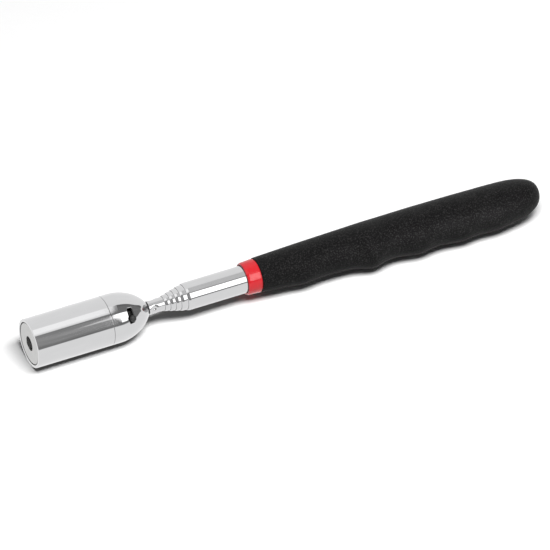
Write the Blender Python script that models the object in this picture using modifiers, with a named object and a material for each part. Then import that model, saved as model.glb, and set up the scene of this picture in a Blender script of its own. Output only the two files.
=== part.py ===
"""Telescoping magnetic pickup tool with a lighted head, as separate pieces.

The tool lies along +X: its magnet face is at the -X end, its grip's butt at the +X end, +Z is up
and the finger ridges of the grip face -Y. The origin is under the middle of the tool, on the bench
that the head's rim rests on. Every piece is a child of the empty TOOL_AXIS, which sits on the
tool's axis in the plane of the head's front rim, so stations below are distances from that rim.
"""

import math

import bmesh
import bpy
from mathutils import Matrix, Vector

MM = 0.001

# ---- driving dimensions, metres ------------------------------------------------------------
OVERALL_LENGTH = 197.6 * MM
HEAD_RADIUS = 9.0 * MM
BARREL_LENGTH = 29.15 * MM
FIT_GAP = 0.30 * MM  # between neighbouring pieces

MAGNET_RADIUS = 7.6 * MM
MAGNET_HOLE_RADIUS = 2.7 * MM
MAGNET_RECESS = 0.10 * MM
MAGNET_REAR = 8.0 * MM
SLEEVE_RADII = (7.68 * MM, 7.88 * MM)
BARREL_BORE_RADIUS = 7.95 * MM
THREAD_BORE_RADIUS = 7.85 * MM
SPIGOT_RADIUS = 7.7 * MM
SPIGOT_BORE_RADIUS = 6.9 * MM
SPIGOT_LENGTH = 4.8 * MM
SEAL_RADIUS = 8.1 * MM
SEAL_WIRE_RADIUS = 0.3 * MM

CELL_RADIUS = 5.8 * MM
CELL_HEIGHT = 5.4 * MM
CELL_COUNT = 3
CELLS_START = 13.1 * MM

DOME_START = BARREL_LENGTH + FIT_GAP
DOME_TAPER_START = 32.5 * MM
DOME_TAPER_LENGTH = 13.7 * MM  # to where the curve would meet the axis
DOME_FULLNESS = 0.63
DOME_WALL = 1.2 * MM
DOME_INNER_END = 41.0 * MM
STUD_RADIUS = 1.9 * MM
STUD_END = 50.5 * MM
CRIMP_STATION = 47.5 * MM

SWITCH_STATION = 36.5 * MM
SWITCH_LOW_ANGLE = math.radians(18.6)  # of the slot's ends, above -Y round the axis
SWITCH_HIGH_ANGLE = math.radians(57.6)
SLOT_WIDTH = 2.0 * MM
KNOB_SIZE = 2.7 * MM
KNOB_ANGLE = math.radians(31.0)

STAGE_COUNT = 6
STAGE_RADIUS_STEP = 0.5 * MM
FIRST_STAGE_RADIUS = 2.5 * MM
STAGE_WALL = 0.25 * MM
STAGE_FRONTS = [x * MM for x in (45.6, 51.6, 53.5, 55.4, 57.3, 59.7)]
HANDLE_TUBE_END = 184.0 * MM
MOUTH_LENGTH = 1.0 * MM
MOUTH_CLEARANCE = 0.08 * MM
STAGE_SETBACK = 2.0 * MM  # each stage ends this far in front of the next wider one
RING_LENGTH = 5.0 * MM
RING_INSET = 1.0 * MM
RING_CLEARANCE = 0.05 * MM

COLLAR_START = 82.6 * MM
COLLAR_END = 87.6 * MM
COLLAR_RADIUS = 6.2 * MM
COLLAR_BORE_RADIUS = 5.15 * MM
COLLAR_SPIGOT_RADIUS = 5.75 * MM
COLLAR_SPIGOT_END = 96.0 * MM

GRIP_START = COLLAR_END + FIT_GAP
GRIP_FRONT_RADIUS = 6.3 * MM
GRIP_SWELL = 1.15 * MM
GRIP_SWELL_SPAN = 118.0 * MM
GRIP_BUTT_START = 181.0 * MM
BACK_BLUNTNESS = 2.7
FINGER_BLUNTNESS = 2.0
GRIP_BORE_RADIUS = 5.3 * MM
GRIP_BORE_END = 186.0 * MM
BELLY_HEIGHT = (0.5 * MM, 2.4 * MM)  # extra radius on the finger side, front and rear
BELLY_SPAN = (110 * MM, 185 * MM)
FINGER_RIDGES = [(104, 1.0), (130, 2.1), (148, 1.3), (165, 1.0), (178, 0.8)]  # station, height, mm
RIDGE_SPREAD = 3.6 * MM

ROUND_HEAD = 32  # segments round the head and the grip
ROUND_TUBE = 24
ROUND_SMALL = 16

FINISHES = {  # base colour, metallic, roughness
    "chrome": ((0.80, 0.80, 0.82), 1.0, 0.08),
    "nickel": ((0.66, 0.66, 0.65), 1.0, 0.28),
    "steel": ((0.55, 0.56, 0.58), 1.0, 0.30),
    "brass": ((0.78, 0.60, 0.28), 1.0, 0.30),
    "black_plastic": ((0.02, 0.02, 0.022), 0.0, 0.45),
    "red_plastic": ((0.75, 0.02, 0.03), 0.0, 0.20),
    "grip_foam": ((0.035, 0.035, 0.037), 0.0, 0.80),
    "seal_rubber": ((0.03, 0.03, 0.03), 0.0, 0.60),
    "led_epoxy": ((0.85, 0.90, 0.95), 0.0, 0.05),
    "circuit_board": ((0.04, 0.25, 0.10), 0.0, 0.40),
    "clear_film": ((0.75, 0.76, 0.72), 0.0, 0.30),
}


# ---- scene and helpers ---------------------------------------------------------------------
def clear_scene():
    for obj in list(bpy.data.objects):
        bpy.data.objects.remove(obj, do_unlink=True)


def new_collection(name):
    collection = bpy.data.collections.new(name)
    bpy.context.scene.collection.children.link(collection)
    return collection


def make_material(name, finish):
    colour, metallic, roughness = FINISHES[finish]
    material = bpy.data.materials.new(name)
    material.use_nodes = True
    shader = material.node_tree.nodes["Principled BSDF"]
    shader.inputs["Base Color"].default_value = (*colour, 1.0)
    shader.inputs["Metallic"].default_value = metallic
    shader.inputs["Roughness"].default_value = roughness
    material.diffuse_color = (*colour, 1.0)
    return material


def add_piece(name, data, finish):
    """Links a mesh or curve as a piece of the tool, on the tool's axis, with its own material."""
    piece = bpy.data.objects.new(name, data)
    PARTS.objects.link(piece)
    piece.parent = TOOL_AXIS
    data.materials.append(make_material(name, finish))
    return piece


def turned(name, finish, outside, bore=(), segments=ROUND_TUBE):
    """A turned piece from (station, radius) points, each list given from front to rear.

    Without a bore the piece is solid and its profile ends on the axis. So does the profile of a
    piece with a blind bore, whose two lists both end at radius 0.
    """
    profile = list(reversed(outside)) + list(bore)
    if not bore:
        profile = [(outside[-1][0], 0.0)] + profile + [(outside[0][0], 0.0)]
    edges = [(i, i + 1) for i in range(len(profile) - 1)]
    if profile[0][1] > 0.0:
        edges.append((len(profile) - 1, 0))
    mesh = bpy.data.meshes.new(name)
    mesh.from_pydata([(x, r, 0.0) for x, r in profile], edges, [])
    piece = add_piece(name, mesh, finish)
    screw = piece.modifiers.new("turn", "SCREW")
    screw.axis = "X"
    screw.steps = segments
    screw.render_steps = segments
    screw.use_merge_vertices = True
    screw.merge_threshold = 1e-6
    screw.use_smooth_shade = True
    return piece


def box_mesh(name, size, centre=(0, 0, 0), turn=None):
    """A box of the given size about centre, then turned about the origin by a matrix."""
    mesh = bpy.data.meshes.new(name)
    shape = bmesh.new()
    bmesh.ops.create_cube(shape, size=1.0)
    shape.transform((turn or Matrix()) @ Matrix.Translation(centre) @ Matrix.Diagonal((*size, 1.0)))
    shape.to_mesh(mesh)
    shape.free()
    return mesh


def add_cutter(name, mesh, parent):
    cutter = bpy.data.objects.new(name, mesh)
    CUTTERS.objects.link(cutter)
    cutter.parent = parent
    cutter.hide_render = True
    cutter.display_type = "WIRE"
    return cutter


def boolean(piece, other, operation="DIFFERENCE"):
    modifier = piece.modifiers.new(operation.lower(), "BOOLEAN")
    modifier.operation = operation
    modifier.solver = "EXACT"
    modifier.object = other


def bevel(piece, width, segments=2):
    modifier = piece.modifiers.new("edges", "BEVEL")
    modifier.width = width
    modifier.segments = segments
    modifier.limit_method = "ANGLE"


def wire(name, finish, points, radius, resolution=1):
    curve = bpy.data.curves.new(name, "CURVE")
    curve.dimensions = "3D"
    curve.bevel_depth = radius
    curve.bevel_resolution = resolution
    curve.use_fill_caps = True
    spline = curve.splines.new("POLY")
    spline.points.add(len(points) - 1)
    for point, place in zip(spline.points, points):
        point.co = (*place, 1.0)
    return add_piece(name, curve, finish)


def arc(centre, radius, start, end, steps):
    """Profile points on an arc about centre; angles in degrees from +X towards +radius."""
    angles = [math.radians(start + (end - start) * i / steps) for i in range(steps + 1)]
    return [(centre[0] + radius * math.cos(a), centre[1] + radius * math.sin(a)) for a in angles]


def round_axis(angle):
    """Turns a direction that points to -Y by angle above -Y, about the tool's axis."""
    return Matrix.Rotation(-angle, 4, "X")


# ---- the head's barrel ---------------------------------------------------------------------
def make_head_barrel():
    """Chrome barrel that carries the magnet and unscrews from the dome."""
    lip = 0.2 * MM
    chamfer = 0.25 * MM
    seal_pocket = (27.9 * MM, 8.5 * MM)
    outside = arc((lip, HEAD_RADIUS - lip), lip, 180, 90, 4)
    outside += [(BARREL_LENGTH - chamfer, HEAD_RADIUS), (BARREL_LENGTH, HEAD_RADIUS - chamfer)]
    step = 9.9 * MM
    bore = [
        (0.1 * MM, BARREL_BORE_RADIUS),
        (step, BARREL_BORE_RADIUS),
        (step, THREAD_BORE_RADIUS),
        (seal_pocket[0], THREAD_BORE_RADIUS),
        seal_pocket,
        (BARREL_LENGTH, seal_pocket[1]),
    ]
    turned("head_barrel", "chrome", outside, bore, ROUND_HEAD)


def make_ring_magnet():
    edge = 0.2 * MM
    front, rear = MAGNET_RECESS, MAGNET_REAR
    outside = [
        (front, MAGNET_RADIUS - edge),
        (front + edge, MAGNET_RADIUS),
        (rear, MAGNET_RADIUS),
    ]
    bore = [
        (front, MAGNET_HOLE_RADIUS + edge),
        (front + edge, MAGNET_HOLE_RADIUS),
        (rear, MAGNET_HOLE_RADIUS),
    ]
    turned("ring_magnet", "nickel", outside, bore, ROUND_HEAD)


def make_magnet_sleeve():
    """Plastic cup round the magnet, with a hole for the lamp in its floor."""
    front = 0.25 * MM
    floor = MAGNET_REAR + 0.2 * MM
    rear = 9.6 * MM
    lamp_hole = 3.2 * MM
    outside = [(front, SLEEVE_RADII[1]), (rear, SLEEVE_RADII[1])]
    bore = [(front, SLEEVE_RADII[0]), (floor, SLEEVE_RADII[0]), (floor, lamp_hole), (rear, lamp_hole)]
    turned("magnet_sleeve", "black_plastic", outside, bore, ROUND_HEAD)


def make_led():
    """A 5 mm lamp in the magnet's hole: a domed lens on a flanged base."""
    lens = 2.4 * MM
    flange = 2.85 * MM
    tip = 1.5 * MM
    base = 9.9 * MM
    outside = arc((tip + lens, 0), lens, 170, 90, 5) + [
        (base - 1.0 * MM, lens),
        (base - 1.0 * MM, flange),
        (base, flange),
    ]
    turned("led", "led_epoxy", outside, (), ROUND_SMALL)


def make_led_leads():
    pitch = 1.27 * MM
    radius = 0.25 * MM
    start = 10.1 * MM
    bend = 10.45 * MM
    straight = [(start, pitch, 0), (12.3 * MM, pitch, 0)]
    bent = [(start, -pitch, 0), (bend, -pitch - 0.35 * MM, 0), (bend, -6.8 * MM, 0)]
    wire("led_anode_lead", "steel", straight, radius)
    wire("led_cathode_lead", "steel", bent, radius)


def make_led_board():
    """Disc behind the lamp; the anode lead passes through its hole."""
    front, rear = 10.9 * MM, 12.1 * MM
    board = turned("led_board", "circuit_board", [(front, 7.5 * MM), (rear, 7.5 * MM)], (), ROUND_TUBE)
    drill = bpy.data.meshes.new("lead_hole")
    shape = bmesh.new()
    place = Matrix.Translation((11.5 * MM, 1.27 * MM, 0)) @ Matrix.Rotation(math.pi / 2, 4, "Y")
    bmesh.ops.create_cone(
        shape, cap_ends=True, segments=12, radius1=0.6 * MM, radius2=0.6 * MM, depth=3 * MM, matrix=place
    )
    shape.to_mesh(drill)
    shape.free()
    boolean(board, add_cutter("lead_hole", drill, TOOL_AXIS))


def make_battery_contact():
    turned("battery_contact", "brass", [(12.45 * MM, 2.2 * MM), (12.8 * MM, 2.2 * MM)], (), ROUND_SMALL)


def make_seal_ring():
    """O-ring between the barrel and the dome's spigot."""
    centre = (28.5 * MM, SEAL_RADIUS)
    loop = arc(centre, SEAL_WIRE_RADIUS, 0, 360, 8)[:-1]
    turned("seal_ring", "seal_rubber", loop[:1], loop[1:], ROUND_HEAD)


# ---- the head's rear half ------------------------------------------------------------------
def dome_radius(x):
    reach = max(0.0, (x - DOME_TAPER_START) / DOME_TAPER_LENGTH)
    return HEAD_RADIUS * (1.0 - reach**2) ** DOME_FULLNESS


def dome_end():
    """Station where the dome has narrowed to the first tube's radius."""
    share = (FIRST_STAGE_RADIUS / HEAD_RADIUS) ** (1.0 / DOME_FULLNESS)
    return DOME_TAPER_START + DOME_TAPER_LENGTH * math.sqrt(1.0 - share)


def make_rear_dome():
    """Chrome dome with the barrel's spigot in front and a slot for the switch."""
    chamfer = 0.25 * MM
    steps = 12
    end = dome_end()
    spigot_front = BARREL_LENGTH - SPIGOT_LENGTH
    outside = [
        (spigot_front, SPIGOT_RADIUS),
        (DOME_START, SPIGOT_RADIUS),
        (DOME_START, HEAD_RADIUS - chamfer),
        (DOME_START + chamfer, HEAD_RADIUS),
        (DOME_TAPER_START, HEAD_RADIUS),
    ]
    for i in range(1, steps + 1):
        x = DOME_TAPER_START + (end - DOME_TAPER_START) * math.sin(math.pi / 2 * i / steps)
        outside.append((x, dome_radius(x)))
    inner_steps = 5
    inner_start = 31.6 * MM
    stud_bore = STUD_RADIUS + FIT_GAP
    bore = [(spigot_front, SPIGOT_BORE_RADIUS), (30.8 * MM, SPIGOT_BORE_RADIUS)]
    for i in range(inner_steps + 1):
        x = inner_start + (DOME_INNER_END - inner_start) * i / inner_steps
        bore.append((x, dome_radius(x) - DOME_WALL))
    bore += [(DOME_INNER_END, stud_bore), (end, stud_bore)]
    dome = turned("rear_dome", "chrome", outside, bore, ROUND_HEAD)

    middle = (SWITCH_LOW_ANGLE + SWITCH_HIGH_ANGLE) / 2
    chord = 2 * dome_radius(SWITCH_STATION) * math.sin((SWITCH_HIGH_ANGLE - SWITCH_LOW_ANGLE) / 2)
    slot = box_mesh(
        "switch_slot",
        (SLOT_WIDTH, 5.0 * MM, chord),
        (SWITCH_STATION, -8.0 * MM, 0),
        round_axis(middle),
    )
    boolean(dome, add_cutter("switch_slot", slot, TOOL_AXIS))


def make_switch_slider():
    """Thumb knob, its stem through the slot, and the shoe that slides under the dome's wall.

    The piece's origin is on the tool's axis, which it slides round.
    """
    radius = dome_radius(SWITCH_STATION)
    fall = dome_radius(SWITCH_STATION - MM) - dome_radius(SWITCH_STATION + MM)
    slope = math.atan2(fall, 2 * MM)
    turn = round_axis(KNOB_ANGLE)
    here = Matrix.Translation((SWITCH_STATION, 0, 0))
    shoe = box_mesh("shoe", (3.4 * MM, 0.6 * MM, 4.4 * MM), (0, -5.8 * MM, 0), here @ turn)
    slider = add_piece("switch_slider", shoe, "black_plastic")
    stem = box_mesh("stem", (1.2 * MM, 3.3 * MM, 1.8 * MM), (0, -7.3 * MM, 0), here @ turn)
    boolean(slider, add_cutter("stem", stem, TOOL_AXIS), "UNION")
    lean = Matrix.Translation((0, -radius, 0)) @ Matrix.Rotation(slope, 4, "Z")
    knob = box_mesh("knob", (KNOB_SIZE, 1.0 * MM, KNOB_SIZE), (0, -0.85 * MM, 0), here @ turn @ lean)
    knob_piece = add_cutter("knob", knob, TOOL_AXIS)
    bevel(knob_piece, 0.5 * MM)
    boolean(slider, knob_piece, "UNION")


def make_switch_body():
    """Plastic block in the dome that the switch's contact is fixed to."""
    turned(
        "switch_body",
        "black_plastic",
        [(33.3 * MM, 5.0 * MM), (38.9 * MM, 5.0 * MM)],
        [(33.3 * MM, 0.8 * MM), (38.9 * MM, 0.8 * MM)],
    )


def make_switch_contact():
    """Bent brass leaf from the switch block to the dome's wall."""
    thickness = 0.25 * MM
    width = 2.0 * MM
    centre_line = [(33.8, 5.45), (37.0, 5.45), (38.2, 6.15), (39.6, 5.55)]
    inner = [(x * MM, y * MM) for x, y in centre_line]
    outer = [(x, y + thickness) for x, y in reversed(inner)]
    curve = bpy.data.curves.new("switch_contact", "CURVE")
    curve.dimensions = "2D"
    curve.fill_mode = "BOTH"
    curve.extrude = width / 2
    spline = curve.splines.new("POLY")
    spline.points.add(len(inner + outer) - 1)
    for point, (x, y) in zip(spline.points, inner + outer):
        point.co = (x, y, 0.0, 1.0)
    spline.use_cyclic_u = True
    add_piece("switch_contact", curve, "brass")


def make_contact_spring():
    """Conical coil that presses the cells forwards."""
    start, end = 30.35 * MM, 32.85 * MM
    wide, narrow = 4.3 * MM, 2.0 * MM
    turns = 3
    per_turn = 12
    points = []
    for i in range(turns * per_turn + 1):
        share = i / (turns * per_turn)
        radius = wide + (narrow - wide) * share
        angle = 2 * math.pi * turns * share
        points.append(
            (start + (end - start) * share, radius * math.cos(angle), radius * math.sin(angle))
        )
    wire("contact_spring", "steel", points, 0.22 * MM)


def make_battery_sleeve():
    front, rear = 12.5 * MM, 30.1 * MM
    inner, outer = 6.05 * MM, 6.6 * MM
    turned("battery_sleeve", "clear_film", [(front, outer), (rear, outer)], [(front, inner), (rear, inner)])


def make_cells():
    """Button cells, each a can with a narrower cap at its rear."""
    cap_height = 0.5 * MM
    cap_radius = 4.7 * MM
    edge = 0.3 * MM
    for i in range(CELL_COUNT):
        front = CELLS_START + i * (CELL_HEIGHT + FIT_GAP)
        shoulder = front + CELL_HEIGHT - cap_height
        outside = [
            (front, CELL_RADIUS - edge),
            (front + edge, CELL_RADIUS),
            (shoulder, CELL_RADIUS),
            (shoulder, cap_radius),
            (front + CELL_HEIGHT, cap_radius),
        ]
        turned(f"button_cell_{i + 1}", "steel", outside)


def make_head_stud():
    """Rivet that joins the head to the first tube; the tube is crimped into its groove."""
    flange_front, flange_rear = 39.5 * MM, 40.7 * MM
    groove_half, groove_radius = 1.0 * MM, 1.35 * MM
    outside = [
        (flange_front, 3.4 * MM),
        (flange_rear, 3.4 * MM),
        (flange_rear, STUD_RADIUS),
        (CRIMP_STATION - groove_half, STUD_RADIUS),
        (CRIMP_STATION - groove_half / 2, groove_radius),
        (CRIMP_STATION + groove_half / 2, groove_radius),
        (CRIMP_STATION + groove_half, STUD_RADIUS),
        (STUD_END, STUD_RADIUS),
    ]
    turned("head_stud", "steel", outside, (), ROUND_SMALL)


# ---- the telescoping tubes -----------------------------------------------------------------
def stage_radius(number):
    return FIRST_STAGE_RADIUS + (number - 1) * STAGE_RADIUS_STEP


def stage_end(number):
    return HANDLE_TUBE_END - (STAGE_COUNT - number) * STAGE_SETBACK


def make_stage(number):
    """One chrome tube. All but the first have a mouth rolled in on the tube inside them."""
    front, rear = STAGE_FRONTS[number - 1], stage_end(number)
    outer = stage_radius(number)
    inner = outer - STAGE_WALL
    if number == 1:
        outside = [(front, outer), (rear, outer)]
        bore = [(front, inner), (rear, inner)]
    else:
        mouth = stage_radius(number - 1) + MOUTH_CLEARANCE
        outside = [
            (front, mouth + 0.12 * MM),
            (front + 0.25 * MOUTH_LENGTH, outer - 0.15 * MM),
            (front + MOUTH_LENGTH, outer),
            (rear, outer),
        ]
        bore = [
            (front, mouth),
            (front + 0.5 * MOUTH_LENGTH, mouth),
            (front + 1.2 * MOUTH_LENGTH, inner),
            (rear, inner),
        ]
    turned(f"tube_stage_{number}", "chrome", outside, bore)


def make_friction_ring(number):
    """Spring ring on a stage's rear end: it drags in the next tube and stops at its mouth."""
    rear = stage_end(number) - RING_INSET
    front = rear - RING_LENGTH
    inner = stage_radius(number) + RING_CLEARANCE
    outer = stage_radius(number + 1) - STAGE_WALL - RING_CLEARANCE
    name = f"friction_ring_{number}"
    turned(name, "brass", [(front, outer), (rear, outer)], [(front, inner), (rear, inner)])


def make_tube_end_cap():
    rear = HANDLE_TUBE_END
    inside = stage_radius(STAGE_COUNT) - STAGE_WALL - 0.15 * MM
    depth = 1.5 * MM
    outside = [
        (rear - depth, inside),
        (rear + FIT_GAP / 2, inside),
        (rear + FIT_GAP / 2, stage_radius(STAGE_COUNT)),
        (rear + 1.3 * MM, stage_radius(STAGE_COUNT)),
    ]
    turned("tube_end_cap", "black_plastic", outside)


# ---- the handle ----------------------------------------------------------------------------
def make_collar():
    """Red collar between the tube and the grip, with a spigot inside the grip."""
    lip_radius = 5.75 * MM
    round_length = 0.6 * MM
    front_radius = 5.95 * MM
    outside = [(COLLAR_START, lip_radius)]
    for i in range(1, 5):
        turn = math.pi / 2 * i / 4
        x = COLLAR_START + round_length * (1 - math.cos(turn))
        outside.append((x, lip_radius + (front_radius - lip_radius) * math.sin(turn)))
    outside += [
        (COLLAR_END, COLLAR_RADIUS),
        (COLLAR_END, COLLAR_SPIGOT_RADIUS),
        (COLLAR_SPIGOT_END, COLLAR_SPIGOT_RADIUS),
    ]
    bore = [(COLLAR_START, COLLAR_BORE_RADIUS), (COLLAR_SPIGOT_END, COLLAR_BORE_RADIUS)]
    turned("collar", "red_plastic", outside, bore, ROUND_HEAD)


def butt_factor(x, bluntness):
    """1 along the grip, falling to 0 over its round butt; 2 is an ellipse, more is blunter."""
    reach = max(0.0, (x - GRIP_BUTT_START) / (OVERALL_LENGTH - GRIP_BUTT_START))
    return max(0.0, 1.0 - reach**bluntness) ** (1.0 / bluntness)


def grip_back_radius(x):
    swell = GRIP_SWELL * math.sin(math.pi * (x - GRIP_START) / GRIP_SWELL_SPAN)
    return (GRIP_FRONT_RADIUS + swell) * butt_factor(x, BACK_BLUNTNESS)


def smooth_step(x, span):
    share = min(1.0, max(0.0, (x - span[0]) / (span[1] - span[0])))
    return share * share * (3.0 - 2.0 * share)


def finger_height(x):
    """How far the finger side stands beyond the back's radius at a station."""
    height = BELLY_HEIGHT[0] + (BELLY_HEIGHT[1] - BELLY_HEIGHT[0]) * smooth_step(x, BELLY_SPAN)
    for station, ridge in FINGER_RIDGES:
        height += ridge * MM * math.exp(-(((x - station * MM) / RIDGE_SPREAD) ** 2) / 2)
    rise = min(1.0, (x - GRIP_START) / (6.0 * MM))
    return height * butt_factor(x, FINGER_BLUNTNESS) * rise


def make_grip():
    """Soft grip with finger ridges, closed at the butt, bored for the tube and the collar.

    It is turned to the radius of its back first, then its finger side is raised.
    """
    pitch = 2.4 * MM
    butt_steps = 9
    edge = 0.4 * MM
    length = GRIP_BUTT_START - GRIP_START - edge
    count = round(length / pitch)
    stations = [GRIP_START + edge + length * i / count for i in range(count + 1)]
    butt_length = OVERALL_LENGTH - GRIP_BUTT_START
    for i in range(1, butt_steps):
        stations.append(GRIP_BUTT_START + butt_length * math.sin(math.pi / 2 * i / butt_steps))
    outside = [(GRIP_START, GRIP_FRONT_RADIUS - edge / 2)]
    outside += [(x, grip_back_radius(x)) for x in stations]
    outside.append((OVERALL_LENGTH, 0.0))
    spigot_end = COLLAR_SPIGOT_END + FIT_GAP
    spigot_bore = COLLAR_SPIGOT_RADIUS + 0.15 * MM
    bore = [
        (GRIP_START, spigot_bore),
        (spigot_end, spigot_bore),
        (spigot_end, GRIP_BORE_RADIUS),
        (GRIP_BORE_END, GRIP_BORE_RADIUS),
        (GRIP_BORE_END, 0.0),
    ]
    raise_finger_side(turned("grip", "grip_foam", outside, bore, ROUND_HEAD))


def raise_finger_side(piece):
    """Bakes the turned blank, then moves its outer skin out on the -Y side."""
    skin_depth = 0.05 * MM
    bpy.context.view_layer.update()
    evaluated = piece.evaluated_get(bpy.context.evaluated_depsgraph_get())
    mesh = bpy.data.meshes.new_from_object(evaluated)
    mesh.name = "grip"
    for vertex in mesh.vertices:
        x, y, z = vertex.co
        radius = math.hypot(y, z)
        on_skin = x > GRIP_START and radius > grip_back_radius(x) - skin_depth
        if on_skin and radius > 0.0:
            facing = (1.0 - y / radius) / 2.0
            grown = radius + finger_height(x) * facing**2
            vertex.co = Vector((x, y * grown / radius, z * grown / radius))
    piece.modifiers.clear()
    piece.data = mesh


# ---- the whole tool ------------------------------------------------------------------------
clear_scene()
PARTS = new_collection("magnetic_pickup_tool")
CUTTERS = new_collection("cutters")
TOOL_AXIS = bpy.data.objects.new("tool_axis", None)
PARTS.objects.link(TOOL_AXIS)
TOOL_AXIS.location = (-OVERALL_LENGTH / 2, 0.0, HEAD_RADIUS)

make_head_barrel()
make_ring_magnet()
make_magnet_sleeve()
make_led()
make_led_leads()
make_led_board()
make_battery_contact()
make_seal_ring()
make_rear_dome()
make_switch_slider()
make_switch_body()
make_switch_contact()
make_contact_spring()
make_battery_sleeve()
make_cells()
make_head_stud()
for stage in range(1, STAGE_COUNT + 1):
    make_stage(stage)
for stage in range(1, STAGE_COUNT):
    make_friction_ring(stage)
make_tube_end_cap()
make_collar()
make_grip()
bpy.context.view_layer.update()
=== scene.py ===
"""The looks of the magnetic pickup tool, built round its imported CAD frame.

Stations are world X in metres. The tool's axis runs along X at the height AXIS_Z, and angles round
it are measured above -Y, the side of the finger ridges and of the switch.
"""

import math

import bmesh
import bpy
import numpy as np
from mathutils import Matrix, Vector


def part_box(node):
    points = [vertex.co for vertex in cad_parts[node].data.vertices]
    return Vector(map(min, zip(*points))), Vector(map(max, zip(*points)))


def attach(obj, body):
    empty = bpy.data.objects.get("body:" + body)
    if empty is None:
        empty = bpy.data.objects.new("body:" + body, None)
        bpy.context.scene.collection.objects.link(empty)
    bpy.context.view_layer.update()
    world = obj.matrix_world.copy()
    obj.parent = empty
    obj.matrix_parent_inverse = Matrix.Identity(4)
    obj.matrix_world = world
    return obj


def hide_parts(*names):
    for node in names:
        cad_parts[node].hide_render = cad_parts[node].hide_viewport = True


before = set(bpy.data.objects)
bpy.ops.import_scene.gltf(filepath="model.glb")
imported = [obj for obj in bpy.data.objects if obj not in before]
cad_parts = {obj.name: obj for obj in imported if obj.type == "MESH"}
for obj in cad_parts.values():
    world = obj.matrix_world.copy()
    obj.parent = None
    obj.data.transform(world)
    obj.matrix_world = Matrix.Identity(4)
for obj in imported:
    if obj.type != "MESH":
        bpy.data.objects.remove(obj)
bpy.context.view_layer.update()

MM = 0.001
DEG = math.pi / 180


# ---- sizes from the frame --------------------------------------------------------------------
def span(node):
    """First and last station of a CAD node."""
    low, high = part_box(node)
    return low.x, high.x


def radius_of(node):
    """Outer radius of a turned CAD node."""
    low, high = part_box(node)
    return (high.z - low.z) / 2


FRONT, BARREL_REAR = span("head_barrel")
HEAD_RADIUS = radius_of("head_barrel")
AXIS_Z = HEAD_RADIUS  # the head rests on the floor
TUBE_COUNT = 6
TUBE_WALL = 0.25 * MM
TUBE_RADII = [radius_of(f"tube_stage_{n}") for n in range(1, TUBE_COUNT + 1)]

DOME_FRONT = BARREL_REAR + 0.3 * MM
SEAM_FILL = 0.11 * MM  # each side of the seam comes this much nearer than the CAD's clearance
SPIGOT_FRONT, DOME_REAR = span("rear_dome")
DOME_TAPER_START = DOME_FRONT + 3.05 * MM
DOME_TAPER_LENGTH = 13.7 * MM
DOME_FULLNESS = 0.63
SWITCH_STATION = sum(span("switch_slider")) / 2
SLOT_ANGLES = (18.6 * DEG, 57.6 * DEG)
SLOT_WIDTH = 2.0 * MM
KNOB_ANGLE = 31.0 * DEG
CRIMP_STATION = span("tube_stage_1")[0] + 1.95 * MM
CRIMP_ANGLES = (21 * DEG, 141 * DEG, 261 * DEG)
GRIP_FRONT, GRIP_REAR = span("grip")

CAMERA_AZIMUTH = -24.5 * DEG
CAMERA_ELEVATION = 41.5 * DEG
CAMERA_DISTANCE = 6.0
FRAME_WIDTH = 0.1936  # metres across the picture at the camera's target
TARGET_SHIFT = (0.0866, 0.0242)  # from the head's front, to the picture's right and up


# ---- small helpers ---------------------------------------------------------------------------
def on_axis(x, angle, radius):
    """Points at the given stations, angles and distances from the tool's axis."""
    return np.stack(
        np.broadcast_arrays(x, -np.cos(angle) * radius, AXIS_Z + np.sin(angle) * radius), axis=-1
    )


def add_object(name, mesh, material):
    mesh.materials.append(material)
    piece = bpy.data.objects.new(name, mesh)
    bpy.context.scene.collection.objects.link(piece)
    return piece


def smooth(mesh, sharp_angle=32 * DEG):
    mesh.shade_smooth()
    mesh.set_sharp_from_angle(angle=sharp_angle)


def rounded(corners, closed=True, arc_step=12 * DEG):
    """A profile from (x, radius, fillet) corners, with an arc of its fillet at each corner."""
    result = []
    count = len(corners)
    for i, (x, r, fillet) in enumerate(corners):
        if fillet <= 0 or (not closed and i in (0, count - 1)):
            result.append((x, r))
            continue
        here = np.array((x, r))
        before = np.array(corners[i - 1][:2]) - here
        after = np.array(corners[(i + 1) % count][:2]) - here
        before /= np.linalg.norm(before)
        after /= np.linalg.norm(after)
        opening = math.acos(max(-1.0, min(1.0, float(before @ after))))
        tangent = fillet / math.tan(opening / 2)
        centre = here + (before + after) / np.linalg.norm(before + after) * math.hypot(fillet, tangent)
        start = here + before * tangent - centre
        end = here + after * tangent - centre
        turn = math.atan2(start[0] * end[1] - start[1] * end[0], start @ end)
        steps = max(2, math.ceil(abs(turn) / arc_step))
        for k in range(steps + 1):
            a = turn * k / steps
            c, s = math.cos(a), math.sin(a)
            arm = np.array((c * start[0] - s * start[1], s * start[0] + c * start[1]))
            result.append(tuple(centre + arm))
    return result


def divided(profile, longest):
    """The profile with its long stretches split, so that none is longer than the given length.

    A short stretch at each end keeps a rounding's shading from spreading over the flat beside it.
    """
    hold = 0.04 * MM
    result = []
    for (x0, r0), (x1, r1) in zip(profile, profile[1:]):
        length = math.hypot(x1 - x0, r1 - r0)
        steps = max(1, math.ceil(length / longest))
        shares = [k / steps for k in range(steps)]
        if length > 10 * hold:
            shares = [0, hold / length] + shares[1:] + [1 - hold / length]
        result += [(x0 + (x1 - x0) * share, r0 + (r1 - r0) * share) for share in shares]
    return result + [profile[-1]]


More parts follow.
